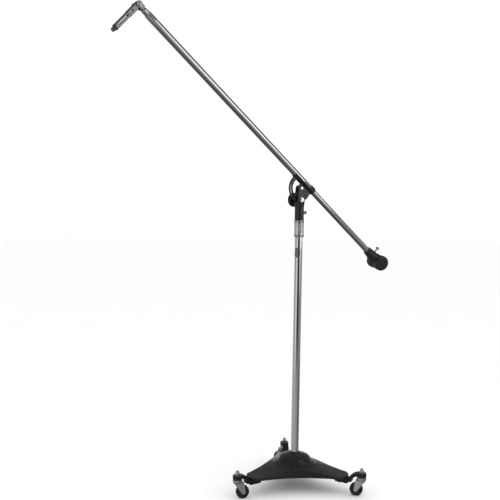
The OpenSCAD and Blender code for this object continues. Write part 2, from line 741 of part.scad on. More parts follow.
// Forked swivel: its spindle turns in the ferrule, its cheeks hold the mini boom
module tip_swivel() {
    neck_s = socket_front_s - 0.4;
    color("silver") {
        difference() {
            union() {
                on_boom_axis(neck_s - 0.1) cylinder(r = spindle_r, h = 34);
                on_boom_axis(neck_s - 10.5) cylinder(r = 9.6, h = 10.5);
                at_boom() for (side = [0, 1]) mirror([0, side, 0])
                    translate([0, cheek_face, boom_offset]) rotate([90, 0, 0])
                        linear_extrude(cheek_face - cheek_gap) {
                            translate([knuckle_s, 0]) circle(r = 11.5);
                            polygon([[knuckle_s, -11.5], [neck_s - 4, -8], [neck_s - 4, 8], [knuckle_s, 11.5]]);
                        }
                at_boom() translate([neck_s - 10.5, -cheek_face, boom_offset - 8])
                    cube([6.5, 2 * cheek_face, 16]);
            }
            at_knuckle() translate([0, 30, 0]) rotate([90, 0, 0]) cylinder(r = 4 + seat, h = 60);
        }
    }
}

module knuckle_bolt() {
    color("silver") at_knuckle() rotate([90, 0, 0]) {
        translate([0, 0, -cheek_face - 24]) cylinder(r = 4, h = 2 * cheek_face + 25);
        translate([0, 0, cheek_face + 0.1]) cylinder(r = 9.2, h = 1.3);
        // domed head
        intersection() {
            translate([0, 0, cheek_face + 1.3 - 5.74]) sphere(r = 10.34);
            translate([0, 0, cheek_face + 1]) cylinder(r = 8.58, h = 8);
        }
    }
}

// Round thumb nut on the far side of the knuckle
module knuckle_thumb_nut() {
    disc_r = 10.6;
    color("white") at_knuckle() rotate([-90, 0, 0]) translate([0, 0, cheek_face + 0.3]) difference() {
        union() {
            cylinder(r = 6.6, h = 14);
            translate([0, 0, 13]) cylinder(r1 = 9.6, r2 = disc_r, h = 1.2);
            translate([0, 0, 14.2 - eps]) cylinder(r = disc_r, h = 6.6);
            translate([0, 0, 20.8 - 2 * eps]) cylinder(r1 = disc_r, r2 = 9, h = 1.6);
        }
        translate([0, 0, -1]) cylinder(r = 4 + fit, h = 30);
        for (i = [0:17]) rotate([0, 0, i * 20]) translate([disc_r + 0.7, 0, 12]) cylinder(r = 1.3, h = 12, $fn = 16);
    }
}

// A bar with rounded edges, running down -Z from the origin
module round_bar(width, depth, edge, from, to) {
    translate([-width / 2 + edge, -depth / 2, -to]) cube([width - 2 * edge, depth, to - from]);
    translate([-width / 2, -depth / 2 + edge, -to]) cube([width, depth - 2 * edge, to - from]);
    for (x = [-1, 1]) for (y = [-1, 1])
        translate([x * (width / 2 - edge), y * (depth / 2 - edge), -to]) cylinder(r = edge, h = to - from, $fn = 48);
}

// Slotted arm: an eye on the knuckle, a heavier root and a slimmer end
module mini_arm() {
    root_len = 56;
    slot_w = 3.6;
    color("gainsboro") at_arm() difference() {
        union() {
            translate([0, arm_half, 0]) rotate([90, 0, 0]) cylinder(r = arm_w / 2, h = 2 * arm_half);
            round_bar(arm_w, 2 * arm_half, 5.6, 1, root_len);
            round_bar(arm_w - 2, 2 * arm_half - 1.6, 5.4, root_len - 1, mini_reach);
        }
        translate([0, 30, 0]) rotate([90, 0, 0]) cylinder(r = 4 + fit, h = 60);
        for (span = [[34, 48], [62, 108]]) {
            translate([-slot_w / 2, -30, -span[1]]) cube([slot_w, 60, span[1] - span[0]]);
            for (z = span) translate([0, 30, -z]) rotate([90, 0, 0]) cylinder(d = slot_w, h = 60, $fn = 32);
        }
    }
}

module mini_arm_collar() {
    color("silver") at_arm() translate([0, 0, -mini_reach - 3.5]) cylinder(r = 12, h = 3.5);
}

module mic_stud() {
    stud_len = 15;
    chamfer = 1.6;
    r = mic_thread_d / 2;
    color("silver") at_arm() translate([0, 0, -mini_reach - 3.5 - stud_len]) {
        translate([0, 0, chamfer]) cylinder(r = r, h = stud_len - chamfer);
        cylinder(r1 = r - chamfer, r2 = r, h = chamfer + eps);
    }
}

base_casting();
bracket_bolts();
mast_nut();
lower_tube();
tube_badge();
clutch_body();
clutch_collet();
clutch_collar();
upper_tube();
piston_bush();
front_bracket();
left_bracket();
right_bracket();
front_acorn_nut();
left_acorn_nut();
right_acorn_nut();
front_caster_stem();
left_caster_stem();
right_caster_stem();
swivel_balls();
front_fork();
left_fork();
right_fork();
front_axle();
left_axle();
right_axle();
front_wheel_hub();
left_wheel_hub();
right_wheel_hub();
front_tyre();
left_tyre();
right_tyre();
head_yoke();
pivot_pin();
clamp_bolt();
clamp_washers();
clamp_knob();
knob_insert();
head_screw();
saddle_quadrant();
saddle_screws();
front_tube();
boom_collet();
boom_lock_ring();
rear_tube();
rear_tube_guide();
rear_tube_plug();
counterweight();
counterweight_screw();
tip_socket();
tip_swivel();
knuckle_bolt();
knuckle_thumb_nut();
mini_arm();
mini_arm_collar();
mic_stud();
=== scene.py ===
"""Looks of the boom microphone stand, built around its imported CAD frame. Metres, +Z up, floor at z = 0."""

import json
import math

import bmesh
import bpy
from mathutils import Matrix, Vector


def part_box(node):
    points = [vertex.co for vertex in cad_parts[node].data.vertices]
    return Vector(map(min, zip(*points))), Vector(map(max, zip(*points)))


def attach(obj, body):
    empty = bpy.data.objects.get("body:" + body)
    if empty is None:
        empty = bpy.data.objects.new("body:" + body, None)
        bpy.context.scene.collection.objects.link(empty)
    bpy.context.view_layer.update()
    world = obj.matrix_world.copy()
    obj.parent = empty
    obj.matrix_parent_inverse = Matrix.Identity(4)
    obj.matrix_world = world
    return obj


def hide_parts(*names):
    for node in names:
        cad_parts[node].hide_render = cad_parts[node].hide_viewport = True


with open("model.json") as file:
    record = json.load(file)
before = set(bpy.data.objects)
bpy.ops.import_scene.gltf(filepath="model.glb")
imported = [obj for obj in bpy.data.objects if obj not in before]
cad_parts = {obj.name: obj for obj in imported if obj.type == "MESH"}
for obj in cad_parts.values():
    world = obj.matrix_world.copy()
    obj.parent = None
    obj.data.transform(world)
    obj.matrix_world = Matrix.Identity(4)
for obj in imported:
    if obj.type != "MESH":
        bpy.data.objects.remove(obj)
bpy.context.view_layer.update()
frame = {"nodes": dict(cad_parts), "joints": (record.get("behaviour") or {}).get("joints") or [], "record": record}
nodes = frame["nodes"]
joints = {j["name"]: j for j in frame["joints"]}
scene = bpy.context.scene

# ---------- camera ----------

CAMERA_PLACE = (-1.9107, -2.3219, 1.075)
CAMERA_YAW = math.radians(-3.77)        # away from the mast, seen from above
CAMERA_PITCH = math.radians(-2.14)
CAMERA_ROLL = math.radians(0.97)
CAMERA_HEADING = math.radians(-39.45)   # from the -Y axis round to the camera's side
CAMERA_LENS = 53.06                     # mm, on a 36 mm sensor


def make_camera():
    """The main view, as a yaw, pitch and roll about the direction to the mast."""
    yaw, pitch, roll = CAMERA_YAW, CAMERA_PITCH, CAMERA_ROLL
    forward = Vector((math.sin(yaw) * math.cos(pitch), math.cos(yaw) * math.cos(pitch), math.sin(pitch)))
    level = Vector((math.cos(yaw), -math.sin(yaw), 0))
    upright = level.cross(forward)
    right = level * math.cos(roll) + upright * math.sin(roll)
    up = upright * math.cos(roll) - level * math.sin(roll)
    turn = Matrix.Rotation(CAMERA_HEADING, 3, "Z")
    axes = Matrix((turn @ right, turn @ up, -(turn @ forward))).transposed()
    data = bpy.data.cameras.new("camera")
    data.sensor_width = 36
    data.lens = CAMERA_LENS
    data.clip_end = 200
    camera = bpy.data.objects.new("camera", data)
    camera.matrix_world = Matrix.Translation(CAMERA_PLACE) @ axes.to_4x4()
    scene.collection.objects.link(camera)
    scene.camera = camera


make_camera()

# ---------- material helpers ----------


class Nodes:
    """Short calls for building one node tree."""

    def __init__(self, tree):
        self.tree = tree
        tree.nodes.clear()

    def add(self, kind):
        return self.tree.nodes.new(kind)

    def link(self, source, target):
        self.tree.links.new(source, target)

    def noise(self, vector, scale, detail=3.0, roughness=0.5):
        node = self.add("ShaderNodeTexNoise")
        self.link(vector, node.inputs["Vector"])
        node.inputs["Scale"].default_value = scale
        node.inputs["Detail"].default_value = detail
        node.inputs["Roughness"].default_value = roughness
        return node.outputs["Fac"]

    def spread(self, value, low, high, to_low, to_high):
        node = self.add("ShaderNodeMapRange")
        self.link(value, node.inputs["Value"])
        limits = {"From Min": low, "From Max": high, "To Min": to_low, "To Max": to_high}
        for name, number in limits.items():
            node.inputs[name].default_value = number
        return node.outputs["Result"]

    def mix(self, factor, first, second):
        node = self.add("ShaderNodeMix")
        node.data_type = "RGBA"
        self.link(factor, node.inputs[0])
        for socket, colour in ((node.inputs[6], first), (node.inputs[7], second)):
            if isinstance(colour, bpy.types.NodeSocket):
                self.link(colour, socket)
            else:
                socket.default_value = (*colour, 1)
        return node.outputs[2]

    def math(self, operation, first, second=0.0):
        node = self.add("ShaderNodeMath")
        node.operation = operation
        for socket, value in zip(node.inputs, (first, second)):
            if isinstance(value, bpy.types.NodeSocket):
                self.link(value, socket)
            else:
                socket.default_value = value
        return node.outputs[0]

    def bump(self, height, strength, distance, normal=None):
        node = self.add("ShaderNodeBump")
        node.inputs["Strength"].default_value = strength
        node.inputs["Distance"].default_value = distance
        self.link(height, node.inputs["Height"])
        if normal:
            self.link(normal, node.inputs["Normal"])
        return node.outputs["Normal"]


def start_material(name, **fixed):
    """A new material, its nodes, its shader with the fixed values set, and object coordinates."""
    material = bpy.data.materials.new(name)
    material.use_nodes = True
    tree = Nodes(material.node_tree)
    shader = tree.add("ShaderNodeBsdfPrincipled")
    output = tree.add("ShaderNodeOutputMaterial")
    tree.link(shader.outputs[0], output.inputs["Surface"])
    for key, value in fixed.items():
        shader.inputs[key.replace("_", " ")].default_value = value
    place = tree.add("ShaderNodeTexCoord").outputs["Object"]
    return material, tree, shader, place


def stretched(tree, place, scale, rotation=(0, 0, 0)):
    """Object coordinates stretched along one way, for polishing lines and drawn marks."""
    node = tree.add("ShaderNodeMapping")
    node.inputs["Rotation"].default_value = rotation
    node.inputs["Scale"].default_value = scale
    tree.link(place, node.inputs["Vector"])
    return node.outputs["Vector"]


def plated_metal(name, colour, dull, roughness, cloud, line_scale=(900, 900, 14), line_turn=(0, 0, 0),
                 line_depth=0.00001, grain=0.0):
    """Plated steel: faint clouding, polishing lines along the piece and, if asked for, a fine grain."""
    material, tree, shader, place = start_material(name, Metallic=1.0)
    clouds = tree.noise(place, 9.0, 4.0, 0.6)
    smudges = tree.noise(place, 55.0, 3.0, 0.6)
    blend = tree.mix(tree.spread(clouds, 0.35, 0.7, 0.0, 1.0), colour, dull)
    tree.link(blend, shader.inputs["Base Color"])
    lines = tree.noise(stretched(tree, place, line_scale, line_turn), 1.0, 2.0)
    mixed = tree.math("ADD", tree.math("MULTIPLY", smudges, 0.85), tree.math("MULTIPLY", lines, 0.15))
    tree.link(tree.spread(mixed, 0.3, 0.75, roughness, roughness + cloud), shader.inputs["Roughness"])
    normal = tree.bump(lines, 0.08, line_depth)
    if grain:
        normal = tree.bump(tree.noise(place, 1400.0, 2.0), 0.35, grain, normal)
    tree.link(normal, shader.inputs["Normal"])
    return material


def cast_paint(name, colour, edge, roughness, orange=0.00012, pits=0.00006, coat=0.3):
    """Semi-gloss paint over a cast surface: orange peel, sand texture under it and rubbed edges."""
    material, tree, shader, place = start_material(
        name, Coat_Weight=coat, Coat_Roughness=0.13, Specular_IOR_Level=0.25)
    broad = tree.noise(place, 14.0, 4.0, 0.6)
    peel = tree.noise(place, 160.0, 2.0, 0.5)
    sand = tree.noise(place, 700.0, 3.0, 0.6)
    scuffs = tree.noise(stretched(tree, place, (60, 60, 240)), 1.0, 4.0, 0.65)
    geometry = tree.add("ShaderNodeNewGeometry")
    worn = tree.spread(geometry.outputs["Pointiness"], 0.53, 0.62, 0.0, 0.7)
    worn = tree.math("MULTIPLY", worn, tree.spread(scuffs, 0.35, 0.65, 0.2, 1.0))
    paint = tree.mix(tree.spread(broad, 0.3, 0.7, 0.0, 1.0), colour, tuple(1.35 * c for c in colour))
    tree.link(tree.mix(worn, paint, edge), shader.inputs["Base Color"])
    rough = tree.math("ADD", tree.spread(broad, 0.3, 0.7, roughness, roughness + 0.08),
                      tree.spread(scuffs, 0.55, 0.75, 0.0, 0.1))
    tree.link(rough, shader.inputs["Roughness"])
    normal = tree.bump(peel, 0.3, orange)
    tree.link(tree.bump(sand, 0.25, pits, normal), shader.inputs["Normal"])
    return material


def moulded(name, colour, roughness, grain_scale=900.0, grain=0.00004, streak=None):
    """Moulded plastic or rubber: a fine spark-eroded grain, uneven sheen and a slight bloom."""
    material, tree, shader, place = start_material(name, Specular_IOR_Level=0.45)
    broad = tree.noise(place, 30.0, 4.0, 0.6)
    grainy = tree.noise(place, grain_scale, 3.0, 0.6)
    light = tuple(min(1, 1.5 * c + 0.004) for c in colour)
    blend = tree.mix(tree.spread(broad, 0.35, 0.75, 0.0, 1.0), colour, streak or light)
    tree.link(blend, shader.inputs["Base Color"])
    tree.link(tree.spread(broad, 0.3, 0.7, roughness, roughness + 0.12), shader.inputs["Roughness"])
    tree.link(tree.bump(grainy, 0.35, grain), shader.inputs["Normal"])
    return material


BOOM = joints["boom_slide"]["axis"]
BOOM_TILT = math.atan2(-BOOM[2], BOOM[0])
along_boom = dict(line_scale=(14, 900, 900), line_turn=(0, -BOOM_TILT, 0))

chrome = plated_metal("chrome_mast", (0.87, 0.88, 0.89), (0.8, 0.81, 0.83), 0.07, cloud=0.05)
chrome_boom = plated_metal("chrome_boom", (0.87, 0.88, 0.89), (0.8, 0.81, 0.83), 0.07, cloud=0.05,
                           **along_boom)
chrome_small = plated_metal("chrome_small", (0.88, 0.88, 0.89), (0.78, 0.79, 0.8), 0.09, cloud=0.07,
                            line_scale=(600, 600, 600))
zinc = plated_metal("zinc_plate", (0.8, 0.81, 0.82), (0.64, 0.65, 0.66), 0.17, cloud=0.14,
                    line_scale=(500, 500, 90), line_depth=0.00003, grain=0.00004)
nickel = plated_metal("satin_nickel", (0.36, 0.363, 0.367), (0.27, 0.273, 0.277), 0.28, cloud=0.1,
                      line_scale=(14, 900, 900), line_turn=(0, math.pi / 2 - BOOM_TILT, 0),
                      line_depth=0.00003)
brass = plated_metal("turned_brass", (0.78, 0.57, 0.27), (0.62, 0.43, 0.2), 0.22, cloud=0.1)
# Black oxide for the screws; the same near-black material is also painted on the mini arm's slot walls as shade.
black_oxide_and_slot_shade = plated_metal("black_oxide_and_slot_shade", (0.06, 0.06, 0.062), (0.035, 0.035, 0.037), 0.4, cloud=0.15,
                           grain=0.00004)
base_paint = cast_paint("base_paint", (0.007, 0.0071, 0.0074), (0.05, 0.05, 0.052), 0.4, coat=0.6)
bracket_paint = cast_paint("bracket_paint", (0.006, 0.0061, 0.0063), (0.06, 0.06, 0.06), 0.4)
head_paint = cast_paint("head_paint", (0.008, 0.008, 0.0083), (0.08, 0.08, 0.08), 0.36, orange=0.00008,
                        coat=0.6)
weight_paint = cast_paint("weight_paint", (0.013, 0.013, 0.0137), (0.06, 0.06, 0.06), 0.45, orange=0.0002,
                          pits=0.0001)
knob_plastic = moulded("knob_plastic", (0.011, 0.011, 0.012), 0.38)
wheel_plastic = moulded("wheel_plastic", (0.013, 0.013, 0.014), 0.4)
tyre_rubber = moulded("tyre_rubber", (0.0085, 0.0085, 0.009), 0.5, grain_scale=500.0, grain=0.00008)
nylon = moulded("nylon", (0.72, 0.69, 0.6), 0.42, streak=(0.66, 0.62, 0.52))
enamel = cast_paint("badge_enamel", (0.02, 0.02, 0.022), (0.2, 0.2, 0.2), 0.25)
foil = plated_metal("badge_foil", (0.34, 0.345, 0.35), (0.24, 0.245, 0.25), 0.32, cloud=0.1,
                    line_scale=(40, 40, 900))

# ---------- piece helpers ----------

body_of = {node: body for body, names in frame["record"]["behaviour"]["bodies"].items() for node in names}


def piece(name, mesh, node, *materials):
    """A finished mesh that stands for one CAD node, on that node's body."""
    mesh.materials.clear()
    for material in materials:
        mesh.materials.append(material)
    obj = bpy.data.objects.new(name, mesh)
    scene.collection.objects.link(obj)
    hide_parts(node)
    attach(obj, body_of[node])
    return obj


def evaluated_mesh(obj):
    depsgraph = bpy.context.evaluated_depsgraph_get()
    return bpy.data.meshes.new_from_object(obj.evaluated_get(depsgraph), depsgraph=depsgraph)


def cast_skin(name, node, material, voxel, rounds):
    """The CAD solid as a casting: its skin rebuilt from even quads, with every edge and corner eased."""
    obj = bpy.data.objects.new(name + "_work", nodes[node].data.copy())
    scene.collection.objects.link(obj)
    remesh = obj.modifiers.new("even", "REMESH")
    remesh.mode = "VOXEL"
    remesh.voxel_size = voxel
    ease = obj.modifiers.new("ease", "SMOOTH")
    ease.iterations = rounds
    ease.factor = 0.5
    mesh = evaluated_mesh(obj)
    bpy.data.objects.remove(obj)
    mesh.name = name
    for polygon in mesh.polygons:
        polygon.use_smooth = True
    return piece(name, mesh, node, material)


def soften(node, material, width=0.0004, angle=36):
    """A carried-over CAD node: welded, its hard edges rounded, and its material set."""
    obj = nodes[node]
    mesh = obj.data
    if "custom_normal" in mesh.attributes:
        mesh.attributes.remove(mesh.attributes["custom_normal"])
    mesh.materials.clear()
    mesh.materials.append(material)
    for polygon in mesh.polygons:
        polygon.use_smooth = True
    weld = obj.modifiers.new("weld", "WELD")
    weld.merge_threshold = 0.000002
    bevel = obj.modifiers.new("round", "BEVEL")
    bevel.width = width
    bevel.segments = 2
    bevel.limit_method = "ANGLE"
    bevel.angle_limit = math.radians(angle)
    bevel.harden_normals = True


def reach(node, point, axis):
    """How far a node reaches each way along an axis through a point, and its largest radius about it."""
    point, axis = Vector(point), Vector(axis).normalized()
    spans, radii = [], []
    for vertex in nodes[node].data.vertices:
        away = vertex.co - point
        along = away.dot(axis)
        spans.append(along)
        radii.append((away - axis * along).length)
    return min(spans), max(spans), max(radii)


def hexagon(radius, across_flats, angle):
    """Radius of a chamfered hexagon at an angle: the flat's or the chamfer's, whichever is nearer."""
    turn = (angle + math.pi / 6) % (math.pi / 3) - math.pi / 6
    return min(radius, across_flats / 2 / math.cos(turn))


def turned(name, node, point, axis, outline, material, steps=96, shape=None, closed=False):
    """A turned piece: outline holds (along, radius), and shape(along, radius, angle) may alter the radius."""
    axis = Vector(axis).normalized()
    side = axis.orthogonal().normalized()
    other = axis.cross(side)
    point = Vector(point)
    work = bmesh.new()
    rings = []
    for along, radius in outline:
        if radius < 1e-7:
            rings.append([work.verts.new(point + axis * along)])
            continue
        ring = []
        for i in range(steps):
            angle = 2 * math.pi * i / steps
            r = shape(along, radius, angle) if shape else radius
            outward = side * math.cos(angle) + other * math.sin(angle)
            ring.append(work.verts.new(point + axis * along + outward * r))
        rings.append(ring)
    pairs = list(zip(rings, rings[1:]))
    if closed:
        pairs.append((rings[-1], rings[0]))
    for first, second in pairs:
        for i in range(steps):
            j = (i + 1) % steps
            if len(first) == 1:
                work.faces.new((first[0], second[i], second[j]))
            elif len(second) == 1:
                work.faces.new((first[i], second[0], first[j]))
            else:
                work.faces.new((first[i], second[i], second[j], first[j]))
    bmesh.ops.recalc_face_normals(work, faces=work.faces)
    mesh = bpy.data.meshes.new(name)
    work.to_mesh(mesh)
    work.free()
    for polygon in mesh.polygons:
        polygon.use_smooth = True
    mesh.set_sharp_from_angle(angle=math.radians(42))
    piece(name, mesh, node, material)


def rounded_tube(low, high, outer, inner, rim=0.0005):
    """Closed outline of a tube's wall with rolled rims."""
    arc = [0, math.pi / 6, math.pi / 3, math.pi / 2]
    points = [(low + rim - rim * math.cos(a), outer - rim + rim * math.sin(a)) for a in arc]
    points += [(low + (high - low) * k / 12, outer) for k in range(1, 12)]
    points += [(high - rim + rim * math.sin(a), outer - rim + rim * math.cos(a)) for a in arc]
    points += [(high - rim + rim * math.cos(a), inner + rim - rim * math.sin(a)) for a in arc]
    points += [(low + rim - rim * math.sin(a), inner + rim - rim * math.cos(a)) for a in arc]
    return points


def tube_piece(name, node, point, axis, wall, material):
    low, high, outer = reach(node, point, axis)
    turned(name, node, point, axis, rounded_tube(low, high, outer, outer - wall), material, closed=True)


# ---------- base and casters ----------

NUT_FLATS = 0.017
NUT_DOME = 0.0076
TYRE_BORE = 0.0181
SHOULDER = 0.0045                       # radius of the tyre's rounded shoulder


def acorn_nut(corner, stem):
    """An acorn nut: a flange, a chamfered hexagon and a polished dome."""
    low, high, flange = reach(corner + "_acorn_nut", stem, (0, 0, 1))
    dome_base = high - NUT_DOME
    outline = [(low, 0.0057), (low, flange - 0.0003), (low + 0.0003, flange), (low + 0.0012, flange),
               (low + 0.0016, flange - 0.0008), (low + 0.0017, 0.0088), (low + 0.0026, 0.0099),
               (low + 0.0096, 0.0099), (low + 0.0105, 0.0086), (low + 0.0106, 0.0079)]
    dome = [math.radians(10 * k) for k in range(-1, 9)]
    outline += [(dome_base + NUT_DOME * math.sin(a), NUT_DOME * math.cos(a)) for a in dome]
    outline += [(high, 0)]

    def flats(along, radius, angle):
        on_hexagon = 0.008 < radius < 0.0105 and along < dome_base - 0.0012
        return hexagon(radius, NUT_FLATS, angle) if on_hexagon else radius

    turned(corner + "_acorn_nut_skin", corner + "_acorn_nut", stem, (0, 0, 1), outline, chrome_small,
           shape=flats)


def tyre(corner, axle, axle_way):
    """A tyre: a crowned tread with a moulding seam, and sidewalls with a raised bead."""
    low, high, tread = reach(corner + "_tyre", axle, axle_way)
    half = (high - low) / 2
    middle = (high + low) / 2
    outline = [(-half + 0.0012, TYRE_BORE), (-half + 0.0002, TYRE_BORE + 0.0016), (-half, TYRE_BORE + 0.0024),
               (-half + 0.0004, TYRE_BORE + 0.0031), (-half + 0.0007, TYRE_BORE + 0.0038),
               (-half + 0.0004, TYRE_BORE + 0.0045)]
    outline += [(-half + SHOULDER - SHOULDER * math.cos(a), tread - 0.0049 + SHOULDER * math.sin(a))
                for a in (math.radians(15 * k) for k in range(0, 6))]
    outline += [(-half + 0.0062, tread - 0.0002), (-half + 0.0085, tread), (-0.0005, tread),
                (-0.0003, tread - 0.0003)]
    outline += [(-x, r) for x, r in reversed(outline)]
    outline = [(middle + x, r) for x, r in outline]
    turned(corner + "_tyre_skin", corner + "_tyre", axle, axle_way, outline, tyre_rubber, steps=128,
           closed=True)


cast_skin("base_skin", "base_casting", base_paint, 0.0016, 7)
for corner in ("front", "left", "right"):
    cast_skin(corner + "_bracket_skin", corner + "_bracket", bracket_paint, 0.001, 6)
    acorn_nut(corner, joints[corner + "_swivel_turn"]["pos_m"])
    wheel = joints[corner + "_wheel_roll"]
    tyre(corner, wheel["pos_m"], wheel["axis"])
    soften(corner + "_wheel_hub", wheel_plastic, 0.0003)
    soften(corner + "_fork", zinc, 0.0005)
    soften(corner + "_axle", zinc, 0.0003)
    soften(corner + "_caster_stem", zinc, 0.0004)

soften("swivel_balls", zinc, 0.0001)
soften("bracket_bolts", black_oxide_and_slot_shade, 0.0003)
soften("mast_nut", zinc, 0.0004)

# ---------- mast ----------

TUBE_WALL = 0.0015
tube_piece("lower_tube_skin", "lower_tube", (0, 0, 0), (0, 0, 1), TUBE_WALL, chrome)
tube_piece("upper_tube_skin", "upper_tube", (0, 0, 0), (0, 0, 1), TUBE_WALL, chrome)
soften("clutch_body", zinc, 0.0003)
soften("clutch_collet", nylon, 0.0003)
soften("piston_bush", nylon, 0.0003)
soften("clutch_collar", chrome_small, 0.0003, angle=40)


def badge():
    """An oblong foil badge with a raised enamel rim, wrapped on the tube and left blank."""
    low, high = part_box("tube_badge")
    centre = (low + high) / 2
    height = high.z - low.z
    heading = math.atan2(centre.y, centre.x)
    tube_radius = reach("lower_tube", (0, 0, 0), (0, 0, 1))[2]
    half_width = 0.012
    straight = height / 2 - half_width
    # inset from the edge and rise above the tube of each ring, from the rim inward
    rings = [(0, 0.0), (0, 0.0003), (0.0002, 0.0004), (0.0018, 0.0004), (0.002, 0.0003), (0.0035, 0.00025),
             (0.006, 0.00028), (0.009, 0.0003)]
    count = 72
    work = bmesh.new()

    def point(inset, rise, i):
        angle = 2 * math.pi * i / count
        r = half_width - inset
        across = r * math.cos(angle)
        up = r * math.sin(angle) + (straight if math.sin(angle) >= 0 else -straight)
        turn = heading + across / tube_radius
        out = tube_radius + 0.00005 + rise
        return Vector((out * math.cos(turn), out * math.sin(turn), centre.z + up))

    loops = [[work.verts.new(point(inset, rise, i)) for i in range(count)] for inset, rise in rings]
    for k, (first, second) in enumerate(zip(loops, loops[1:])):
        for i in range(count):
            j = (i + 1) % count
            face = work.faces.new((first[i], first[j], second[j], second[i]))
            face.material_index = 1 if 1 <= k <= 3 else 0
    last = loops[-1]
    for i in range(count // 2):
        a, b = i, i + 1
        c, d = (count - i - 1) % count, (count - i) % count
        corners = []
        for vertex in (last[a], last[b], last[c], last[d]):
            if vertex not in corners:
                corners.append(vertex)
        if len(corners) > 2:
            work.faces.new(corners)
    bmesh.ops.recalc_face_normals(work, faces=work.faces)
    mesh = bpy.data.meshes.new("badge_plate")
    work.to_mesh(mesh)
    work.free()
    for polygon in mesh.polygons:
        polygon.use_smooth = True
    piece("badge_plate", mesh, "tube_badge", foil, enamel)
    outward = Vector((math.cos(heading), math.sin(heading), 0))
    if sum(p.normal.dot(outward) for p in mesh.polygons) < 0:
        mesh.flip_normals()


badge()

# ---------- head ----------

cast_skin("head_skin", "head_yoke", head_paint, 0.0007, 5)
soften("pivot_pin", zinc, 0.0004)
soften("clamp_bolt", chrome_small, 0.0003)
soften("clamp_washers", chrome_small, 0.0002)
soften("clamp_knob", knob_plastic, 0.0005, angle=40)
soften("knob_insert", brass, 0.0002)


def thumb_screw(name, node, joint):
    """A thumb screw: threaded shank, neck and a knurled head with chamfered rims."""
    point, axis = joints[joint]["pos_m"], joints[joint]["axis"]
    low, high, head_radius = reach(node, point, axis)
    shank = 0.003
    pitch = 0.001
    thread_depth = 0.00045
    head_length = 0.011 if head_radius < 0.008 else 0.01
    neck = high - head_length
    turns = int((neck - low - 0.002) / pitch)
    outline = [(low, 0), (low, shank - 0.0006), (low + 0.0006, shank)]
    for k in range(turns):
        at = low + 0.0008 + k * pitch
        outline += [(at, shank), (at + 0.45 * pitch, shank - thread_depth), (at + 0.9 * pitch, shank)]
    r, f = head_radius, head_length
    outline += [(neck - 0.0006, shank), (neck, r * 0.6), (neck + 0.15 * f, r * 0.66),
                (neck + 0.36 * f, r * 0.95), (neck + 0.4 * f, r), (neck + 0.74 * f, r),
                (neck + 0.78 * f, r * 0.95), (neck + 0.93 * f, r * 0.68), (high - 0.0003, r * 0.6),
                (high, r * 0.54), (high, 0)]
    edge = r * 0.99

    def knurl(along, radius, angle):
        return radius - (0.00035 * (0.5 + 0.5 * math.cos(30 * angle)) if radius > edge else 0)

    turned(name, node, point, axis, outline, chrome_small, steps=180, shape=knurl)


thumb_screw("head_screw_skin", "head_screw", "head_screw_turn")

# ---------- boom ----------

boom_point = joints["lock_ring_turn"]["pos_m"]
cast_skin("saddle_skin", "saddle_quadrant", head_paint, 0.0007, 4)
soften("saddle_screws", black_oxide_and_slot_shade, 0.0002)
tube_piece("front_tube_skin", "front_tube", boom_point, BOOM, TUBE_WALL, chrome_boom)
tube_piece("rear_tube_skin", "rear_tube", boom_point, BOOM, TUBE_WALL, chrome_boom)
soften("boom_collet", nylon, 0.0002)
soften("boom_lock_ring", knob_plastic, 0.0004, angle=40)
soften("rear_tube_guide", nylon, 0.0003)
soften("rear_tube_plug", knob_plastic, 0.0005)
cast_skin("weight_skin", "counterweight", weight_paint, 0.0011, 9)
thumb_screw("weight_screw_skin", "counterweight_screw", "weight_screw_turn")

# ---------- boom tip and mini boom ----------

soften("tip_socket", chrome_boom, 0.0004)
cast_skin("knuckle_skin", "tip_swivel", nickel, 0.0005, 4)
soften("knuckle_bolt", chrome_small, 0.0004)
soften("mini_arm_collar", nickel, 0.0006)


def thumb_nut():
    """The knuckle's round nut: a plain hub and a knurled disc with chamfered rims."""
    joint = joints["thumb_nut_turn"]
    point, axis = joint["pos_m"], joint["axis"]
    low, high, disc = reach("knuckle_thumb_nut", point, axis)
    bore = 0.00405
    hub = 0.0066
    back = high - 0.0094
    outline = [(low, bore), (low, hub - 0.0003), (low + 0.0003, hub), (back - 0.0006, hub),
               (back, hub + 0.0006), (back, 0.0092), (back + 0.0003, 0.0096), (back + 0.0012, disc),
               (high - 0.0018, disc), (high - 0.0003, 0.0092), (high, 0.0088), (high, 0.0056),
               (high - 0.0008, 0.005), (high - 0.0008, bore)]

    def knurl(along, radius, angle):
        return radius - (0.0006 * (0.5 + 0.5 * math.cos(30 * angle)) if radius > 0.99 * disc else 0)

    turned("thumb_nut_skin", "knuckle_thumb_nut", point, axis, outline, chrome_small, steps=180, shape=knurl,
           closed=True)


def slotted_arm():
    """The short arm as a casting, with the walls of its two slots painted near-black as shade inside them."""
    slot_half_width = 0.0022
    first_slot, last_slot = 0.03, 0.112
    arm_half_depth = 0.0074
    arm = cast_skin("mini_arm_skin", "mini_arm", nickel, 0.0006, 4)
    # A second, near-black material: painted shade for the walls of the slots.
    arm.data.materials.append(black_oxide_and_slot_shade)
    thread = next(m for m in frame["record"]["mounts"] if m["name"] == "mic_thread")
    down = Vector(thread["axis"]).normalized()
    across = Vector((0, 1, 0)).cross(down)
    eye = Vector(joints["mini_boom_tilt"]["pos_m"])
    for polygon in arm.data.polygons:
        away = polygon.center - eye
        in_slot = abs(away.dot(across)) < slot_half_width and first_slot < away.dot(down) < last_slot
        if in_slot and abs(away.y) < arm_half_depth:
            # Faces inside the slots take the near-black material as painted shade.
            polygon.material_index = 1


thumb_nut()
slotted_arm()


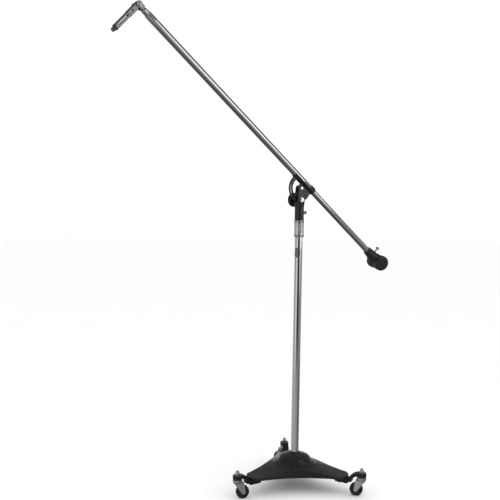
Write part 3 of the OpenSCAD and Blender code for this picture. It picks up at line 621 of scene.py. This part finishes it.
def microphone_thread():
    """The 5/8 in stud with a real single-start thread of 27 turns to the inch."""
    mount = next(m for m in frame["record"]["mounts"] if m["name"] == "mic_thread")
    point, axis = Vector(mount["pos_m"]), Vector(mount["axis"])
    low, high, radius = reach("mic_stud", point, axis)
    pitch = 0.0254 / 27
    depth = 0.00055
    chamfer = 0.0016
    fine = 12
    count = int((high - low) / pitch * fine)
    outline = [(low + (high - low) * k / count, radius) for k in range(count + 1)]
    outline += [(high, radius - chamfer - 0.002), (high - 0.0008, radius - chamfer - 0.0028),
                (high - 0.0008, 0)]

    def thread(along, r, angle):
        if r < radius:
            return r
        phase = (along / pitch - angle / (2 * math.pi)) % 1.0
        crest = 1 - min(1.0, abs(phase - 0.5) * 2.3)
        ridge = radius - depth * (1 - min(1.0, 1.35 * crest))
        far_end = radius - max(0.0, along - (high - chamfer))
        near_end = radius - max(0.0, low + 0.0006 - along) * 0.6
        return min(ridge, far_end, near_end)

    turned("mic_thread", "mic_stud", point, axis, outline, nickel, steps=72, shape=thread)


microphone_thread()

# ---------- room ----------

FLOOR_REACH = 40


def pale_floor():
    """A plain pale floor, far larger than the view, that gloss doesn't see."""
    mesh = bpy.data.meshes.new("floor")
    mesh.from_pydata([(-FLOOR_REACH, -FLOOR_REACH, 0), (FLOOR_REACH, -FLOOR_REACH, 0),
                      (FLOOR_REACH, FLOOR_REACH, 0), (-FLOOR_REACH, FLOOR_REACH, 0)], [], [(0, 1, 2, 3)])
    floor = bpy.data.objects.new("floor", mesh)
    scene.collection.objects.link(floor)
    material, tree, shader, place = start_material("pale_floor", Roughness=0.9, Specular_IOR_Level=0.1)
    shade = tree.mix(tree.noise(place, 3.0), (0.87, 0.87, 0.87), (0.89, 0.89, 0.89))
    tree.link(shade, shader.inputs["Base Color"])
    mesh.materials.append(material)
    floor.visible_glossy = False


pale_floor()

# Brightness that gloss sees all the way round, by the turn in degrees from the camera's side (+ to its
# right): a dark camera wall, a lit wall to its left, a dim one to its right and a bright backdrop behind.
# The low ring is what it sees just below the level.
LEVEL_RING = [(-180, 0.75), (-128, 0.48), (-100, 0.31), (-80, 0.33), (-62, 0.48), (-46, 0.78), (-33, 0.72),
              (-20, 0.3), (-8, 0.06), (0, 0.01), (24, 0.01), (34, 0.08), (45, 0.22), (62, 0.23), (80, 0.24),
              (100, 0.29), (128, 0.35)]
LOW_RING = [(-180, 0.5), (-120, 0.42), (-60, 0.38), (0, 0.33), (30, 0.28), (45, 0.22), (62, 0.14), (80, 0.1),
            (100, 0.125), (128, 0.3)]


ROOM_WHITE = (1.15, 1.15, 1.15)         # what everything but gloss sees
CEILING = (0.16, 0.16, 0.16)
LOW_WALL = (0.25, 0.25, 0.25)
DARK_FLOOR = (0.07, 0.07, 0.07)
BOX_FACING = (-0.35, 1, -0.1)


def brightness_ring(tree, turn, levels):
    """A colour ramp once round the horizon, joined up where it meets itself."""
    start = 0.5 + math.atan2(CAMERA_PLACE[1], CAMERA_PLACE[0]) / (2 * math.pi)
    stops = sorted(((start + degrees / 360) % 1.0, level) for degrees, level in levels)
    (first, first_level), (last, last_level) = stops[0], stops[-1]
    seam = last_level + (first_level - last_level) * (1 - last) / (first + 1 - last)
    ramp = tree.add("ShaderNodeValToRGB")
    elements = ramp.color_ramp.elements
    elements[0].position, elements[1].position = 0.0, 1.0
    elements[0].color = elements[1].color = (seam, seam, seam, 1)
    for position, level in stops:
        elements.new(position).color = (level, level, level, 1)
    tree.link(turn, ramp.inputs[0])
    return ramp.outputs["Color"]


def studio():
    """A white room for plain light. Gloss sees the rings above, a dim ceiling and a dark floor below."""
    world = bpy.data.worlds.new("studio")
    scene.world = world
    world.use_nodes = True
    tree = Nodes(world.node_tree)
    output = tree.add("ShaderNodeOutputWorld")
    background = tree.add("ShaderNodeBackground")
    tree.link(background.outputs[0], output.inputs["Surface"])
    way = tree.add("ShaderNodeSeparateXYZ")
    tree.link(tree.add("ShaderNodeTexCoord").outputs["Generated"], way.inputs[0])
    height = way.outputs["Z"]
    heading = tree.math("ARCTAN2", way.outputs["Y"], way.outputs["X"])
    turn = tree.math("ADD", tree.math("DIVIDE", heading, 2 * math.pi), 0.5)
    level = brightness_ring(tree, turn, LEVEL_RING)
    low = brightness_ring(tree, turn, LOW_RING)
    around = tree.mix(tree.spread(height, -0.15, -0.215, 0.0, 1.0), level, low)
    around = tree.mix(tree.spread(height, 0.1, 0.3, 0.0, 1.0), around, CEILING)
    around = tree.mix(tree.spread(height, -0.25, -0.6, 0.0, 1.0), around, LOW_WALL)
    around = tree.mix(tree.spread(height, -0.6, -0.88, 0.0, 1.0), around, DARK_FLOOR)
    light = tree.add("ShaderNodeLightPath")
    seen = tree.mix(light.outputs["Is Glossy Ray"], ROOM_WHITE, around)
    tree.link(seen, background.inputs["Color"])
    background.inputs["Strength"].default_value = 1.0


studio()
scene.view_settings.view_transform = "Standard"


def soft_box(name, place, width, height, radiance, turn=0.0):
    """A soft box in front of the stand, facing the boom; turn leans it in its own plane, in degrees."""
    data = bpy.data.lights.new(name, "AREA")
    data.shape = "RECTANGLE"
    data.size, data.size_y = width, height
    data.energy = radiance * math.pi * width * height
    light = bpy.data.objects.new(name, data)
    light.location = place
    facing = Vector(BOX_FACING).to_track_quat("-Z", "Y").to_matrix()
    light.rotation_euler = (facing @ Matrix.Rotation(math.radians(turn), 3, "Z")).to_euler()
    scene.collection.objects.link(light)


soft_box("long_box", (1.05, -2.5, 1.78), width=2.4, height=0.85, radiance=1.5, turn=-40)
soft_box("short_box", (0.33, -2.5, 1.08), width=1.35, height=1.05, radiance=0.38)
